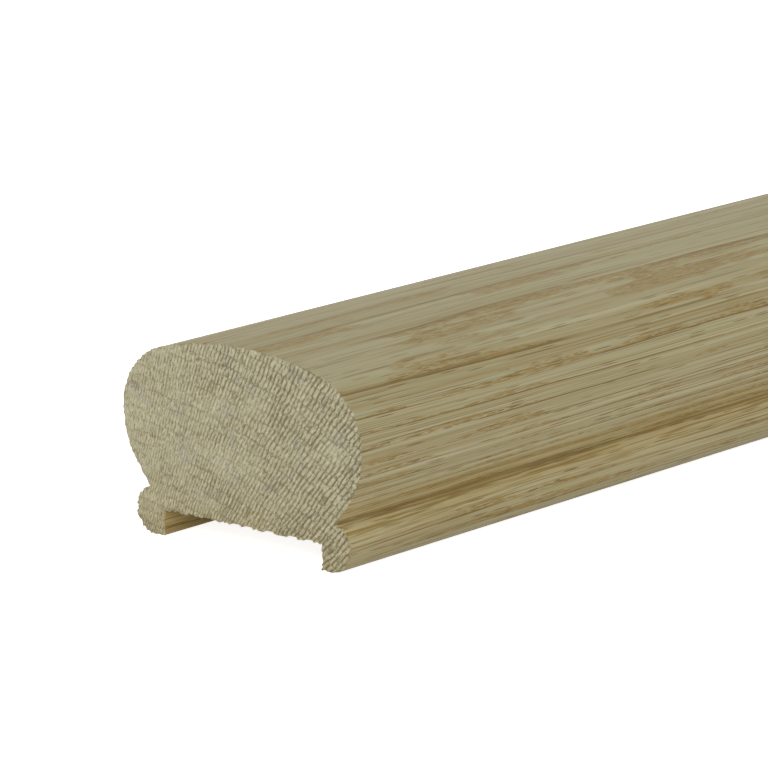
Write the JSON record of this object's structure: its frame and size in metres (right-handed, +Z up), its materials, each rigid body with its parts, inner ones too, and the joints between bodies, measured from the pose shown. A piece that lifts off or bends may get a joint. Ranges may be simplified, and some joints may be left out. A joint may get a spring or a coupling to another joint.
{
  "type": "crown handrail",
  "caption": "Straight length of solid oak stair handrail with a shallow crowned grip, a bead along each lower edge and a groove underneath for square balusters.",
  "frame": {"origin": "middle of the rail's length and width, at the height of the beads' undersides", "axes": "+X along the rail, +Y across it, +Z up out of the crown"},
  "size_m": [2.4, 0.0618, 0.0407],
  "materials": {
    "oak": "planed, sanded and unfinished on the long faces, sawn on the ends"
  },
  "bodies": {
    "root": {"handrail": "oak"}
  },
  "joints": []
}
